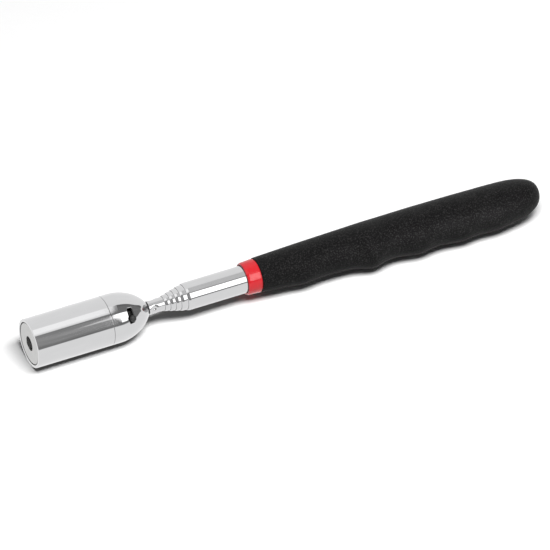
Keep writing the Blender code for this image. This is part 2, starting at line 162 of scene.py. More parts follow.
def lathe(name, material, profile, segments, closed=True, shape=None):
    """Turns a profile round the tool's axis. shape(x, angle, radius) may move each point."""
    x = np.array([p[0] for p in profile])[:, None]
    radius = np.array([p[1] for p in profile])[:, None] * np.ones((1, segments))
    angle = np.arange(segments)[None, :] * (2 * math.pi / segments)
    x = x + np.zeros_like(radius)
    if shape:
        x, radius = shape(x, angle + np.zeros_like(radius), radius)
    points = on_axis(x, angle, radius)
    places, index = [], np.zeros(radius.shape, dtype=int)
    for i in range(len(profile)):
        if profile[i][1] == 0.0:
            index[i, :] = len(places)
            places.append(tuple(points[i, 0]))
        else:
            index[i, :] = len(places) + np.arange(segments)
            places += [tuple(p) for p in points[i]]
    rows = index.tolist()
    faces = []
    for i in range(len(rows) if closed else len(rows) - 1):
        a, b = rows[i], rows[(i + 1) % len(rows)]
        for j in range(segments):
            k = (j + 1) % segments
            corners = (a[j], b[j], b[k], a[k])
            faces.append(tuple(dict.fromkeys(corners)))
    mesh = bpy.data.meshes.new(name)
    mesh.from_pydata(places, [], faces)
    face_outwards(mesh)
    smooth(mesh)
    piece = add_object(name, mesh, material)
    normals = piece.modifiers.new("normals", "WEIGHTED_NORMAL")
    normals.keep_sharp = True
    return piece


def face_outwards(mesh):
    """Turns the faces of a closed mesh to point out."""
    shape = bmesh.new()
    shape.from_mesh(mesh)
    bmesh.ops.recalc_face_normals(shape, faces=shape.faces)
    shape.to_mesh(mesh)
    shape.free()


def stands_for(piece, node, body):
    """Puts a piece on its body, in the place of its CAD node."""
    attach(piece, body)
    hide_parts(node)


# ---- materials -------------------------------------------------------------------------------
class Look:
    """A Principled material with short ways to add the nodes that drive it."""

    def __init__(self, name, colour, metallic=0.0, roughness=0.4, **inputs):
        self.material = bpy.data.materials.new(name)
        self.material.use_nodes = True
        self.tree = self.material.node_tree
        self.shader = self.tree.nodes["Principled BSDF"]
        self.set("Base Color", (*colour, 1.0))
        self.set("Metallic", metallic)
        self.set("Roughness", roughness)
        for key, value in inputs.items():
            self.set(key.replace("_", " "), value)
        self.place = self.node("ShaderNodeTexCoord").outputs["Object"]

    def set(self, name, value):
        self.shader.inputs[name].default_value = value

    def node(self, kind, **settings):
        made = self.tree.nodes.new(kind)
        for key, value in settings.items():
            setattr(made, key, value)
        return made

    def link(self, source, target):
        self.tree.links.new(source, target)

    def stretched(self, scale):
        """Object coordinates in millimetres, scaled along each axis."""
        mapping = self.node("ShaderNodeMapping")
        mapping.inputs["Scale"].default_value = [s / MM for s in scale]
        self.link(self.place, mapping.inputs["Vector"])
        return mapping.outputs["Vector"]

    def noise(self, scale, detail=2.0, roughness=0.5, distortion=0.0):
        """Noise whose features are 1 / scale millimetres across, with scale along X, Y and Z."""
        made = self.node("ShaderNodeTexNoise")
        made.inputs["Scale"].default_value = 1.0
        made.inputs["Detail"].default_value = detail
        made.inputs["Roughness"].default_value = roughness
        made.inputs["Distortion"].default_value = distortion
        self.link(self.stretched(scale), made.inputs["Vector"])
        return made.outputs["Fac"]

    def cells(self, scale):
        """Distance to the nearest of many scattered points, 1 / scale millimetres apart."""
        made = self.node("ShaderNodeTexVoronoi")
        made.inputs["Scale"].default_value = 1.0
        self.link(self.stretched(scale), made.inputs["Vector"])
        return made.outputs["Distance"]

    def remap(self, value, low, high, to_low, to_high):
        """Stretches low..high to to_low..to_high, and stops at both ends."""
        made = self.node("ShaderNodeMapRange")
        self.link(value, made.inputs["Value"])
        ends = {"From Min": low, "From Max": high, "To Min": to_low, "To Max": to_high}
        for key, number in ends.items():
            made.inputs[key].default_value = number
        return made.outputs["Result"]

    def give(self, socket, value):
        """Sets an input from a number or links it to another node's output."""
        if isinstance(value, (int, float)):
            socket.default_value = value
        else:
            self.link(value, socket)

    def math(self, operation, a, b=0.0):
        made = self.node("ShaderNodeMath", operation=operation)
        self.give(made.inputs[0], a)
        self.give(made.inputs[1], b)
        return made.outputs["Value"]

    def blend(self, share, first, second):
        """Mixes two colours, each a tuple or another node's output."""
        made = self.node("ShaderNodeMix", data_type="RGBA")
        self.link(share, made.inputs["Factor"])
        for key, value in (("A", first), ("B", second)):
            socket = next(s for s in made.inputs if s.name == key and s.type == "RGBA")
            if isinstance(value, tuple):
                socket.default_value = (*value, 1.0)
            else:
                self.link(value, socket)
        return next(s for s in made.outputs if s.type == "RGBA")

    def colour(self, source):
        self.link(source, self.shader.inputs["Base Color"])

    def roughness(self, source):
        self.link(source, self.shader.inputs["Roughness"])

    def bump(self, height, depth, strength=1.0, after=None):
        """Adds a bump whose full height is depth in metres, on top of an earlier bump."""
        made = self.node("ShaderNodeBump")
        made.inputs["Strength"].default_value = strength
        made.inputs["Distance"].default_value = depth
        self.link(height, made.inputs["Height"])
        if after is not None:
            self.link(after, made.inputs["Normal"])
        self.link(made.outputs["Normal"], self.shader.inputs["Normal"])
        return made.outputs["Normal"]


def chrome(name, tone=0.56, base_roughness=0.045, wave=0.0012 * MM):
    """Polished chrome plate: faint clouding, hairline marks along the tool and slight waviness."""
    look = Look(name, (tone, tone, tone * 1.01), 1.0, base_roughness)
    cloud = look.noise((0.12, 0.3, 0.3), 3.0)
    dark, pale = (tone * 0.96, tone * 0.96, tone * 0.97), (tone * 1.04, tone * 1.04, tone * 1.05)
    look.colour(look.blend(cloud, dark, pale))
    hairs = look.noise((0.15, 14.0, 14.0), 2.0, 0.6)
    smudge = look.noise((0.35, 0.5, 0.5), 4.0, 0.65)
    fine = look.remap(hairs, 0.45, 0.8, 0.0, 0.03)
    broad = look.remap(smudge, 0.5, 0.75, base_roughness, base_roughness + 0.035)
    look.roughness(look.math("ADD", fine, broad))
    normal = look.bump(look.noise((0.25, 0.9, 0.9), 2.0, 0.5), wave)
    look.bump(hairs, 0.0002 * MM, 0.6, normal)
    return look.material


def raw_metal(name, tone=0.16):
    """Unpolished inside of the plated shells."""
    look = Look(name, (tone, tone, tone * 0.98), 0.8, 0.55)
    grain = look.noise((3.0, 3.0, 3.0), 4.0)
    look.colour(look.blend(grain, (tone * 0.7,) * 3, (tone * 1.2,) * 3))
    look.bump(grain, 0.02 * MM, 0.5)
    return look.material


def nickel(name):
    """Satin nickel on a sintered magnet: fine grain and a few dark pores."""
    look = Look(name, (0.62, 0.62, 0.61), 1.0, 0.34)
    grain = look.noise((6.0, 6.0, 6.0), 3.0, 0.6)
    cloud = look.noise((0.4, 0.4, 0.4), 3.0)
    pores = look.remap(look.cells((2.4, 2.4, 2.4)), 0.04, 0.1, 1.0, 0.0)
    base = look.blend(cloud, (0.42, 0.42, 0.415), (0.49, 0.49, 0.485))
    look.colour(look.blend(look.math("MULTIPLY", pores, 0.25), base, (0.25, 0.25, 0.25)))
    look.roughness(look.remap(grain, 0.3, 0.7, 0.28, 0.42))
    look.bump(grain, 0.004 * MM, 0.7)
    return look.material


def black_plastic(name, tone=0.018, roughness=0.42):
    """Moulded black plastic with a fine spark-eroded grain."""
    look = Look(name, (tone,) * 3, 0.0, roughness)
    grain = look.noise((9.0, 9.0, 9.0), 3.0, 0.6)
    look.colour(look.blend(look.noise((1.0, 1.0, 1.0), 3.0), (tone * 0.75,) * 3, (tone * 1.4,) * 3))
    look.roughness(look.remap(grain, 0.3, 0.7, roughness - 0.08, roughness + 0.1))
    look.bump(grain, 0.006 * MM, 0.6)
    return look.material


def red_plastic(name):
    """Glossy red moulding with faint flow marks round it."""
    look = Look(name, (0.5, 0.009, 0.015), 0.0, 0.16, Specular_IOR_Level=0.4)
    look.set("Subsurface Weight", 0.12)
    look.set("Subsurface Radius", (0.6 * MM, 0.12 * MM, 0.1 * MM))
    flow = look.noise((1.6, 0.25, 0.25), 4.0, 0.55, 0.3)
    look.colour(look.blend(flow, (0.46, 0.007, 0.012), (0.55, 0.009, 0.017)))
    look.roughness(look.remap(look.noise((5.0, 5.0, 5.0), 3.0), 0.3, 0.7, 0.11, 0.2))
    look.bump(look.noise((1.2, 0.8, 0.8), 3.0), 0.004 * MM, 0.5)
    return look.material


def grip_skin(name):
    """Soft black foam skin: rounded grains, a cloudy dark tone, and pale specks painted in as glints."""
    look = Look(name, (0.02, 0.02, 0.021), 0.0, 0.62, Specular_IOR_Level=0.1)
    grains = look.remap(look.cells((2.6, 2.6, 2.6)), 0.05, 0.6, 1.0, 0.0)
    fine = look.noise((7.0, 7.0, 7.0), 4.0, 0.65)
    cloud = look.noise((0.16, 0.22, 0.22), 4.0, 0.6)
    base = look.blend(cloud, (0.0015, 0.0015, 0.0016), (0.006, 0.006, 0.0062))
    # painted highlight: pale specks mixed into the skin's colour stand in for glints on the grain
    painted_glint_specks = look.remap(look.noise((2.1, 2.1, 2.1), 2.0, 0.7), 0.5, 0.7, 0.0, 1.0)
    look.colour(look.blend(painted_glint_specks, base, (0.027, 0.0265, 0.026)))
    look.roughness(look.remap(fine, 0.3, 0.75, 0.62, 0.4))
    geometry, split = look.node("ShaderNodeNewGeometry"), look.node("ShaderNodeSeparateXYZ")
    look.link(geometry.outputs["Normal"], split.inputs["Vector"])
    # painted shade: the sheen fades out on faces turned down, in place of the floor's shadow they would
    # mirror
    painted_shade_sheen = look.remap(split.outputs["Z"], -0.8, 0.1, 0.0, 0.075)  # none on the underside
    look.link(painted_shade_sheen, look.shader.inputs["Specular IOR Level"])
    normal = look.bump(grains, 0.05 * MM, 0.7)
    look.bump(fine, 0.04 * MM, 0.8, normal)
    return look.material


def rubber(name):
    """Matt black rubber with a little dust."""
    look = Look(name, (0.02, 0.02, 0.02), 0.0, 0.5)
    dust = look.noise((2.0, 2.0, 2.0), 4.0)
    look.colour(look.blend(dust, (0.014,) * 3, (0.03,) * 3))
    look.bump(look.noise((8.0, 8.0, 8.0), 3.0), 0.01 * MM, 0.4)
    return look.material


def metal(name, colour, roughness):
    """Plain drawn or stamped metal: brass or steel, with tool marks and a faint tarnish."""
    look = Look(name, colour, 1.0, roughness)
    tarnish = look.noise((0.7, 0.7, 0.7), 4.0, 0.6)
    look.colour(look.blend(tarnish, tuple(0.72 * c for c in colour), colour))
    marks = look.noise((0.4, 8.0, 8.0), 3.0)
    look.roughness(look.remap(marks, 0.3, 0.7, roughness - 0.08, roughness + 0.12))
    look.bump(marks, 0.003 * MM, 0.5)
    return look.material


def board_green(name):
    """Green solder mask with the weave of the board just showing."""
    look = Look(name, (0.03, 0.20, 0.08), 0.0, 0.35)
    weave = look.noise((0.5, 4.0, 4.0), 2.0)
    look.colour(look.blend(weave, (0.02, 0.15, 0.06), (0.04, 0.24, 0.10)))
    look.bump(weave, 0.01 * MM, 0.4)
    return look.material


def clear(name, colour, roughness):
    """Clear cast or drawn plastic, with faint streaks in it."""
    look = Look(name, colour, 0.0, roughness, IOR=1.5)
    look.set("Transmission Weight", 0.9)
    streaks = look.noise((1.0, 2.0, 2.0), 3.0)
    look.colour(look.blend(streaks, tuple(0.9 * c for c in colour), colour))
    look.roughness(look.remap(streaks, 0.3, 0.7, roughness, roughness + 0.08))
    return look.material


# ---- the head --------------------------------------------------------------------------------
def make_barrel():
    """The barrel's shell, with an eased rim and three bores: for the sleeve, spigot and seal."""
    sleeve_bore, spigot_bore, seal_bore = 7.95 * MM, 7.85 * MM, 8.5 * MM
    step, seal = FRONT + 9.9 * MM, BARREL_REAR - 1.25 * MM
    rear = BARREL_REAR + SEAM_FILL
    corners = [
        (FRONT, HEAD_RADIUS, 0.22 * MM),
        (rear, HEAD_RADIUS, 0.12 * MM),
        (rear, seal_bore, 0.05 * MM),
        (seal, seal_bore, 0.05 * MM),
        (seal, spigot_bore, 0.1 * MM),
        (step, spigot_bore, 0.05 * MM),
        (step, sleeve_bore, 0.05 * MM),
        (FRONT, sleeve_bore, 0.06 * MM),
    ]
    piece = lathe("barrel_shell", chrome("barrel_chrome"), divided(rounded(corners), 2 * MM), 256)
    stands_for(piece, "head_barrel", "barrel")


def make_magnet():
    """The flat ring magnet round the lamp's hole."""
    front, rear = span("ring_magnet")
    outer, hole = radius_of("ring_magnet"), 2.7 * MM
    ease = 0.16 * MM
    corners = [(front, outer, ease), (rear, outer, ease), (rear, hole, ease), (front, hole, ease)]
    piece = lathe("magnet_ring", nickel("magnet_nickel"), divided(rounded(corners), 0.6 * MM), 192)
    stands_for(piece, "ring_magnet", "barrel")


def make_sleeve():
    """The thin cup that holds the magnet in the barrel."""
    front, rear = span("magnet_sleeve")
    outer = radius_of("magnet_sleeve")
    inner, floor, hole = 7.68 * MM, rear - 1.4 * MM, 3.2 * MM
    ease = 0.06 * MM
    corners = [
        (front, outer, ease),
        (rear, outer, ease),
        (rear, hole, ease),
        (floor, hole, ease),
        (floor, inner, ease),
        (front, inner, ease),
    ]
    piece = lathe("sleeve_cup", black_plastic("sleeve_plastic"), rounded(corners), 192)
    stands_for(piece, "magnet_sleeve", "barrel")


def make_lamp():
    """The 5 mm lamp: a domed lens on a flanged base."""
    tip, base = span("led")
    lens, flange, flange_depth = 2.4 * MM, radius_of("led"), 1.0 * MM
    dome_steps = 16
    profile = [(tip, 0.0)]
    for i in range(1, dome_steps + 1):
        turn = math.pi / 2 * i / dome_steps
        profile.append((tip + lens * (1 - math.cos(turn)), lens * math.sin(turn)))
    corners = [
        (profile[-1][0], lens, 0.0),
        (base - flange_depth, lens, 0.1 * MM),
        (base - flange_depth, flange, 0.1 * MM),
        (base, flange, 0.1 * MM),
        (base, 0.0, 0.0),
    ]
    profile += rounded(corners, closed=False)[1:]
    piece = lathe("lamp", clear("lamp_epoxy", (0.80, 0.84, 0.88), 0.06), profile, 96, closed=False)
    stands_for(piece, "led", "barrel")


def make_seal():
    """The O-ring at the head's seam."""
    front, rear = span("seal_ring")
    wire = (rear - front) / 2
    ring = radius_of("seal_ring") - wire
    steps = 16
    loop = []
    for i in range(steps):
        turn = 2 * math.pi * i / steps
        loop.append(((front + rear) / 2 + wire * math.cos(turn), ring + wire * math.sin(turn)))
    piece = lathe("seal_o_ring", rubber("seal_rubber"), loop, 160)
    stands_for(piece, "seal_ring", "seal")


def dome_radius(x):
    """Radius of the dome's skin: the head's radius, then a bullet's curve down to its rear."""
    reach = np.clip((np.asarray(x, dtype=float) - DOME_TAPER_START) / DOME_TAPER_LENGTH, 0.0, 0.9999)
    return HEAD_RADIUS * (1.0 - reach**2) ** DOME_FULLNESS


def make_dome():
    """The polished dome with its plain spigot, and the switch's slot with eased edges."""
    spigot, spigot_bore, stud_bore = 7.7 * MM, 6.9 * MM, 2.2 * MM
    wall = 1.2 * MM
    inner_start, inner_end = DOME_FRONT + 2.15 * MM, DOME_FRONT + 11.55 * MM
    outer_steps, inner_steps = 72, 24
    corners = [
        (SPIGOT_FRONT, spigot, 0.12 * MM),
        (DOME_FRONT - SEAM_FILL, spigot, 0.05 * MM),
        (DOME_FRONT - SEAM_FILL, HEAD_RADIUS, 0.12 * MM),
        (DOME_TAPER_START, HEAD_RADIUS, 0.0),
    ]
    profile = rounded([(SPIGOT_FRONT, spigot_bore, 0.0)] + corners, closed=False)
    for i in range(1, outer_steps + 1):
        x = DOME_TAPER_START + (DOME_REAR - DOME_TAPER_START) * math.sin(math.pi / 2 * i / outer_steps)
        profile.append((x, float(dome_radius(x))))
    profile += [(DOME_REAR, stud_bore), (inner_end, stud_bore)]
    for i in range(inner_steps + 1):
        x = inner_end + (inner_start - inner_end) * i / inner_steps
        profile.append((x, float(dome_radius(x)) - wall))
    profile.append((DOME_FRONT + 1.35 * MM, spigot_bore))
    dome = lathe("dome_shell", chrome("dome_chrome"), divided(profile, 1.0 * MM), 256)
    cut_slot(dome)
    stands_for(dome, "rear_dome", "head")


def slot_outline(margin, count=64):
    """Points round the slot as (station, angle): a rounded rectangle grown by a margin."""
    reach = float(dome_radius(SWITCH_STATION))
    half_x = SLOT_WIDTH / 2
    half_t = reach * math.sin((SLOT_ANGLES[1] - SLOT_ANGLES[0]) / 2)
    middle = (SLOT_ANGLES[0] + SLOT_ANGLES[1]) / 2
    corner = 0.45 * MM
    points = []
    for i in range(count):
        turn = 2 * math.pi * (i + 0.5) / count
        sx, st = math.copysign(1, math.cos(turn)), math.copysign(1, math.sin(turn))
        x = sx * (half_x - corner) + (corner + margin) * math.cos(turn)
        t = st * (half_t - corner) + (corner + margin) * math.sin(turn)
        points.append((SWITCH_STATION + x, middle + math.asin(t / reach)))
    return points


def cut_slot(dome):
    """Cuts the slot with a cutter that flares at the surface, which leaves a rounded edge."""
    ease = 0.18 * MM
    flare_steps = 5
    levels = [(0.0, 3.0 * MM), (0.0, 0.8 * MM)]
    for i in range(flare_steps + 1):
        turn = math.pi / 2 * i / flare_steps
        levels.append((ease * (1 - math.cos(turn)), ease * (1 - math.sin(turn))))
    levels.append((ease, -0.6 * MM))
    rings = []
    for margin, depth in levels:
        outline = slot_outline(margin)
        x = np.array([p[0] for p in outline])
        angle = np.array([p[1] for p in outline])
        rings.append(on_axis(x, angle, dome_radius(x) - depth))
    count = len(rings[0])
    total = len(rings) * count
    faces = [tuple(range(count)), tuple(range(total - 1, total - count - 1, -1))]
    for i in range(len(rings) - 1):
        for j in range(count):
            k = (j + 1) % count
            faces.append((i * count + j, i * count + k, (i + 1) * count + k, (i + 1) * count + j))
    mesh = bpy.data.meshes.new("slot_cutter")
    mesh.from_pydata([tuple(p) for ring in rings for p in ring], [], faces)
    face_outwards(mesh)
    cutter = add_object("slot_cutter", mesh, dome.data.materials[0])
    bake_boolean(dome, cutter, "DIFFERENCE")
    paint_inside(dome)
    polish_normals(dome)


def bake_boolean(piece, other, operation):
    """Applies a Boolean to the piece's own mesh and removes the other object."""
    piece.modifiers.clear()
    boolean = piece.modifiers.new("cut", "BOOLEAN")
    boolean.operation = operation
    boolean.solver = "EXACT"
    boolean.object = other
    bpy.context.view_layer.update()
    evaluated = piece.evaluated_get(bpy.context.evaluated_depsgraph_get())
    result = bpy.data.meshes.new_from_object(evaluated)
    piece.modifiers.clear()
    piece.data = result
    bpy.data.objects.remove(other, do_unlink=True)


def paint_inside(dome):
    """Gives the dome's bore and the slot's depth an unpolished finish."""
    dome.data.materials.append(raw_metal("dome_raw_metal"))
    skin = 0.25 * MM
    for face in dome.data.polygons:
        x, y, z = face.center
        radius = math.hypot(y, z - AXIS_Z)
        if x > DOME_FRONT and radius < float(dome_radius(x)) - skin and x < DOME_REAR - skin:
            face.material_index = 1


def polish_normals(dome):
    """Sets exact normals on the dome's outer skin, so that its reflections stay clean."""
    mesh = dome.data
    smooth(mesh)
    tolerance = 0.002 * MM
    step = 0.01 * MM
    normals = []
    corner_normals = mesh.corner_normals
    for loop in mesh.loops:
        x, y, z = mesh.vertices[loop.vertex_index].co
        radius = math.hypot(y, z - AXIS_Z)
        if x >= DOME_TAPER_START and abs(radius - float(dome_radius(x))) < tolerance:
            fall = float(dome_radius(x - step) - dome_radius(x + step)) / (2 * step)
            exact = Vector((fall, y / radius, (z - AXIS_Z) / radius)).normalized()
            given = corner_normals[loop.index].vector
            normals.append(exact if exact.dot(given) > 0.9 else given.copy())
        else:
            normals.append(corner_normals[loop.index].vector.copy())
    mesh.normals_split_custom_set(normals)


def make_slider_knob():
    """The switch's knob, a rounded octagon with a crowned top."""
    surface = float(dome_radius(SWITCH_STATION))
    fall = float(dome_radius(SWITCH_STATION - MM) - dome_radius(SWITCH_STATION + MM))
    lean = math.atan2(fall, 2 * MM)
    half = 1.38 * MM
    underside, top = 0.35 * MM, 1.35 * MM
    sides = 8
    octagon = []
    for i in range(sides):
        turn = math.pi / sides + 2 * math.pi / sides * i
        octagon.append((math.cos(turn), math.sin(turn)))
    # size of the outline and its height above the dome's skin, from the underside to the crown
    levels = [(0.86, underside), (0.97, underside + 0.12 * MM), (1.0, underside + 0.3 * MM)]
    levels += [(0.97, top - 0.3 * MM), (0.84, top - 0.08 * MM), (0.55, top), (0.0, top + 0.05 * MM)]
    shape = bmesh.new()
    rings = []
    for scale, height in levels:
        reach = half * scale
        outline = octagon if scale else [(0.0, 0.0)]
        rings.append([shape.verts.new((reach * cx, reach * cy, height)) for cx, cy in outline])
    shape.faces.new(list(reversed(rings[0])))
    for low, high in zip(rings, rings[1:]):
        for j in range(sides):
            k = (j + 1) % sides
            if len(high) == 1:
                shape.faces.new((low[j], low[k], high[0]))
            else:
                shape.faces.new((low[j], low[k], high[k], high[j]))
    mesh = bpy.data.meshes.new("slider_knob")
    shape.to_mesh(mesh)
    shape.free()
    # the knob is built facing +Z; this lays it on the dome's skin at the switch
    place = (
        Matrix.Translation((SWITCH_STATION, 0, AXIS_Z))
        @ Matrix.Rotation(math.pi / 2 - KNOB_ANGLE, 4, "X")
        @ Matrix.Translation((0, 0, surface))
        @ Matrix.Rotation(lean, 4, "Y")
    )
    mesh.transform(place)
    knob = add_object("slider_knob", mesh, black_plastic("knob_plastic", 0.012, 0.36))
    subdivide = knob.modifiers.new("round", "SUBSURF")
    subdivide.levels = subdivide.render_levels = 3
    mesh.shade_smooth()
    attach(knob, "switch")


def slider_block(name, size, distance):
    """A block on the knob's line, its size and its middle's distance from the axis in mm."""
    place = (
        Matrix.Translation((SWITCH_STATION, 0, AXIS_Z))
        @ Matrix.Rotation(-KNOB_ANGLE, 4, "X")
        @ Matrix.Translation((0, -distance * MM, 0))
        @ Matrix.Diagonal([s * MM for s in size] + [1.0])
    )
    shape = bmesh.new()
    bmesh.ops.create_cube(shape, size=1.0, matrix=place)
    mesh = bpy.data.meshes.new(name)
    shape.to_mesh(mesh)
    shape.free()
    return mesh


def make_slider_foot():
    """Stem through the slot and the shoe under the dome's wall, as one bevelled block."""
    shoe = slider_block("slider_foot", (3.4, 0.6, 4.4), 5.8)
    stem = slider_block("slider_stem", (1.2, 3.1, 1.8), 7.35)
    material = black_plastic("slider_plastic", 0.012, 0.4)
    foot = add_object("slider_foot", shoe, material)
    bake_boolean(foot, add_object("slider_stem", stem, material), "UNION")
    bevel = foot.modifiers.new("edges", "BEVEL")
    bevel.width = 0.12 * MM
    bevel.segments = 2
    stands_for(foot, "switch_slider", "switch")


# ---- the tubes -------------------------------------------------------------------------------
def crimped(x, angle, radius):
    """Presses the three crimp dents into the first tube."""
    reach = TUBE_RADII[0]
    depth, size = 0.42 * MM, 0.6 * MM
    for centre in CRIMP_ANGLES:
        away = np.angle(np.exp(1j * (angle - centre))) * reach
        radius = radius - depth * np.exp(-(((x - CRIMP_STATION) ** 2 + away**2) / (2 * size**2)))
    return x, radius


def make_tube(number):
    """One tube. All but the first end in a rolled mouth that hugs the tube inside."""
    name = f"tube_stage_{number}"
    front, rear = span(name)
    outer = TUBE_RADII[number - 1]
    inner = outer - TUBE_WALL
    edge = 0.05 * MM
    if number == 1:
        corners = [(front, outer, edge), (rear, outer, edge), (rear, inner, edge), (front, inner, edge)]
        stations = [front + 0.1 * MM + 0.08 * MM * k for k in range(50)]
        profile = with_stations(rounded(corners), stations, outer, inner)
        piece = lathe("tube_1", chrome("tube_chrome_1"), profile, 160, shape=crimped)
    else:
        mouth = TUBE_RADII[number - 2] + 0.08 * MM
        corners = [
            (front, mouth + 0.12 * MM, 0.03 * MM),
            (front + 0.18 * MM, outer - 0.14 * MM, 0.16 * MM),
            (front + 0.9 * MM, outer, 1.2 * MM),
            (rear, outer, edge),
            (rear, inner, edge),
            (front + 1.2 * MM, inner, 0.1 * MM),
            (front + 0.5 * MM, mouth, 0.1 * MM),
            (front, mouth, 0.03 * MM),
        ]
        profile = divided(rounded(corners, arc_step=8 * DEG), 6 * MM)
        piece = lathe(f"tube_{number}", chrome(f"tube_chrome_{number}"), profile, 160)
    body = "handle" if number == TUBE_COUNT else f"stage_{number}"
    stands_for(piece, name, body)


def with_stations(loop, stations, outer, inner):
    """Adds points at the stations to both walls of a tube's profile, for the dents to press."""
    result = []
    for point, following in zip(loop, loop[1:] + loop[:1]):
        result.append(point)
        if abs(following[0] - point[0]) < 10 * MM:
            continue
        low, high = sorted((point[0], following[0]))
        within = [x for x in stations if low < x < high]
        if abs(point[1] - outer) < abs(point[1] - inner):
            result += [(x, outer) for x in within]
        else:
            result += [(x, inner) for x in reversed(within)]
    return result


# ---- the handle ------------------------------------------------------------------------------
def make_collar():
    """The collar: a thin lip at the tube, a rounded shoulder and a slight flare to the grip."""
    front, rear = span("collar")
    outer, bore = radius_of("collar"), 5.15 * MM
    shoulder = GRIP_FRONT - 0.3 * MM
    spigot = 5.75 * MM
    corners = [
        (front, bore, 0.08 * MM),
        (front, 5.72 * MM, 0.22 * MM),
        (front + 0.7 * MM, 5.95 * MM, 0.6 * MM),
        (shoulder, outer, 0.2 * MM),
        (shoulder, spigot, 0.05 * MM),
        (rear, spigot, 0.1 * MM),
        (rear, bore, 0.1 * MM),
    ]
    piece = lathe("collar_ring", red_plastic("collar_red"), divided(rounded(corners), 0.8 * MM), 192)
    stands_for(piece, "collar", "handle")


GRIP_NECK_RADIUS = 6.3 * MM
GRIP_SWELL, GRIP_SWELL_LENGTH = 1.15 * MM, 118 * MM
GRAIN_SIZE, GRAIN_DEPTH = 0.75 * MM, 0.035 * MM
BUTT_START = GRIP_FRONT + 93.1 * MM
BACK_BLUNTNESS, FINGER_BLUNTNESS = 2.7, 2.0
BELLY = (0.5 * MM, 2.4 * MM)
BELLY_SPAN = (GRIP_FRONT + 22.1 * MM, GRIP_FRONT + 97.1 * MM)
RIDGES = [(16.1, 1.0), (42.1, 2.1), (60.1, 1.3), (77.1, 1.0), (90.1, 0.8)]  # station, height, mm
RIDGE_SPREAD = 3.6 * MM


def butt_factor(x, bluntness):
    """Share of the grip's radius that is left at each station of its rounded butt."""
    reach = np.clip((x - BUTT_START) / (GRIP_REAR - BUTT_START), 0.0, 1.0)
    return (1.0 - reach**bluntness) ** (1.0 / bluntness)


def grip_back_radius(x):
    """Radius of the turned blank, which is the grip's plain back."""
    swell = GRIP_SWELL * np.sin(math.pi * (x - GRIP_FRONT) / GRIP_SWELL_LENGTH)
    return (GRIP_NECK_RADIUS + swell) * butt_factor(x, BACK_BLUNTNESS)


def finger_height(x):
    """Height of the belly and its ridges over the blank, on the finger side."""
    share = np.clip((x - BELLY_SPAN[0]) / (BELLY_SPAN[1] - BELLY_SPAN[0]), 0.0, 1.0)
    height = BELLY[0] + (BELLY[1] - BELLY[0]) * share * share * (3 - 2 * share)
    for station, ridge in RIDGES:
        height = height + ridge * MM * np.exp(-(((x - GRIP_FRONT - station * MM) / RIDGE_SPREAD) ** 2) / 2)
    rise = np.clip((x - GRIP_FRONT) / (6 * MM), 0.0, 1.0)
    return height * butt_factor(x, FINGER_BLUNTNESS) * rise


def pebbles(along, around, girth, cell, seed):
    """Cellular grain on the unrolled skin, 0 in the hollows to 1 on the tops; it closes round."""
    columns = round(girth / cell)
    rows = int(math.ceil((along.max() - along.min()) / cell)) + 4
    jitter = np.random.default_rng(seed).random((rows, columns, 2))
    u = (along - along.min()) / cell + 1.5
    v = around * columns / (2 * math.pi)
    row, column = np.floor(u).astype(int), np.floor(v).astype(int)
    nearest = np.full(u.shape, 9.0)
    for di in (-1, 0, 1):
        for dj in (-1, 0, 1):
            i = np.clip(row + di, 0, rows - 1)
            j = column + dj
            spot = jitter[i, j % columns]
            distance = np.hypot(i + spot[..., 0] - u, j + spot[..., 1] - v)
            nearest = np.minimum(nearest, distance)
    return np.clip(1.0 - nearest**2 * 1.4, 0.0, 1.0)


def shape_grip(x, angle, radius):
    """Raises the finger side of the turned blank and presses the grain into its outer skin."""
    skin = radius > grip_back_radius(x) - 0.02 * MM
    facing = (1.0 + np.cos(angle)) / 2.0
    lift = finger_height(x) * facing**2
    girth = 2 * math.pi * 7.4 * MM
    grain = pebbles(x, angle, girth, GRAIN_SIZE, seed=11) - 0.5
    fade = np.clip((x - GRIP_FRONT) / MM, 0.0, 1.0) * np.clip((GRIP_REAR - x) / MM, 0.0, 1.0)
    return x, np.where(skin, radius + lift + GRAIN_DEPTH * grain * fade, radius)


def make_grip():
    """The grip: finger ridges, a rounded front edge, a closed butt and a grained skin."""
    edge = 0.45 * MM
    step = 0.28 * MM
    spigot_bore, spigot_end = 5.9 * MM, GRIP_FRONT + 8.4 * MM
    bore, bore_end = 5.3 * MM, GRIP_FRONT + 98.1 * MM
    body_start, body_length = GRIP_FRONT + edge, BUTT_START - GRIP_FRONT - edge
    count = round(body_length / step)
    stations = [body_start + body_length * i / count for i in range(count + 1)]
    butt_steps = 70
    for i in range(1, butt_steps):
        stations.append(BUTT_START + (GRIP_REAR - BUTT_START) * math.sin(math.pi / 2 * i / butt_steps))
    start_radius = float(grip_back_radius(body_start))
    profile = [
        (bore_end, 0.0),
        (bore_end, bore),
        (spigot_end, bore),
        (spigot_end, spigot_bore),
        (GRIP_FRONT, spigot_bore),
    ]
    edge_steps = 7
    for i in range(edge_steps - 1, 0, -1):
        turn = math.pi / 2 * i / edge_steps
        x = GRIP_FRONT + edge * (1 - math.sin(turn))
        profile.append((x, start_radius - edge * (1 - math.cos(turn))))
    profile += [(x, float(grip_back_radius(x))) for x in stations]
    profile += [(GRIP_REAR, 0.0)]
    piece = lathe("grip_skin", grip_skin("grip_foam_skin"), profile, 200, closed=False, shape=shape_grip)
    stands_for(piece, "grip", "handle")


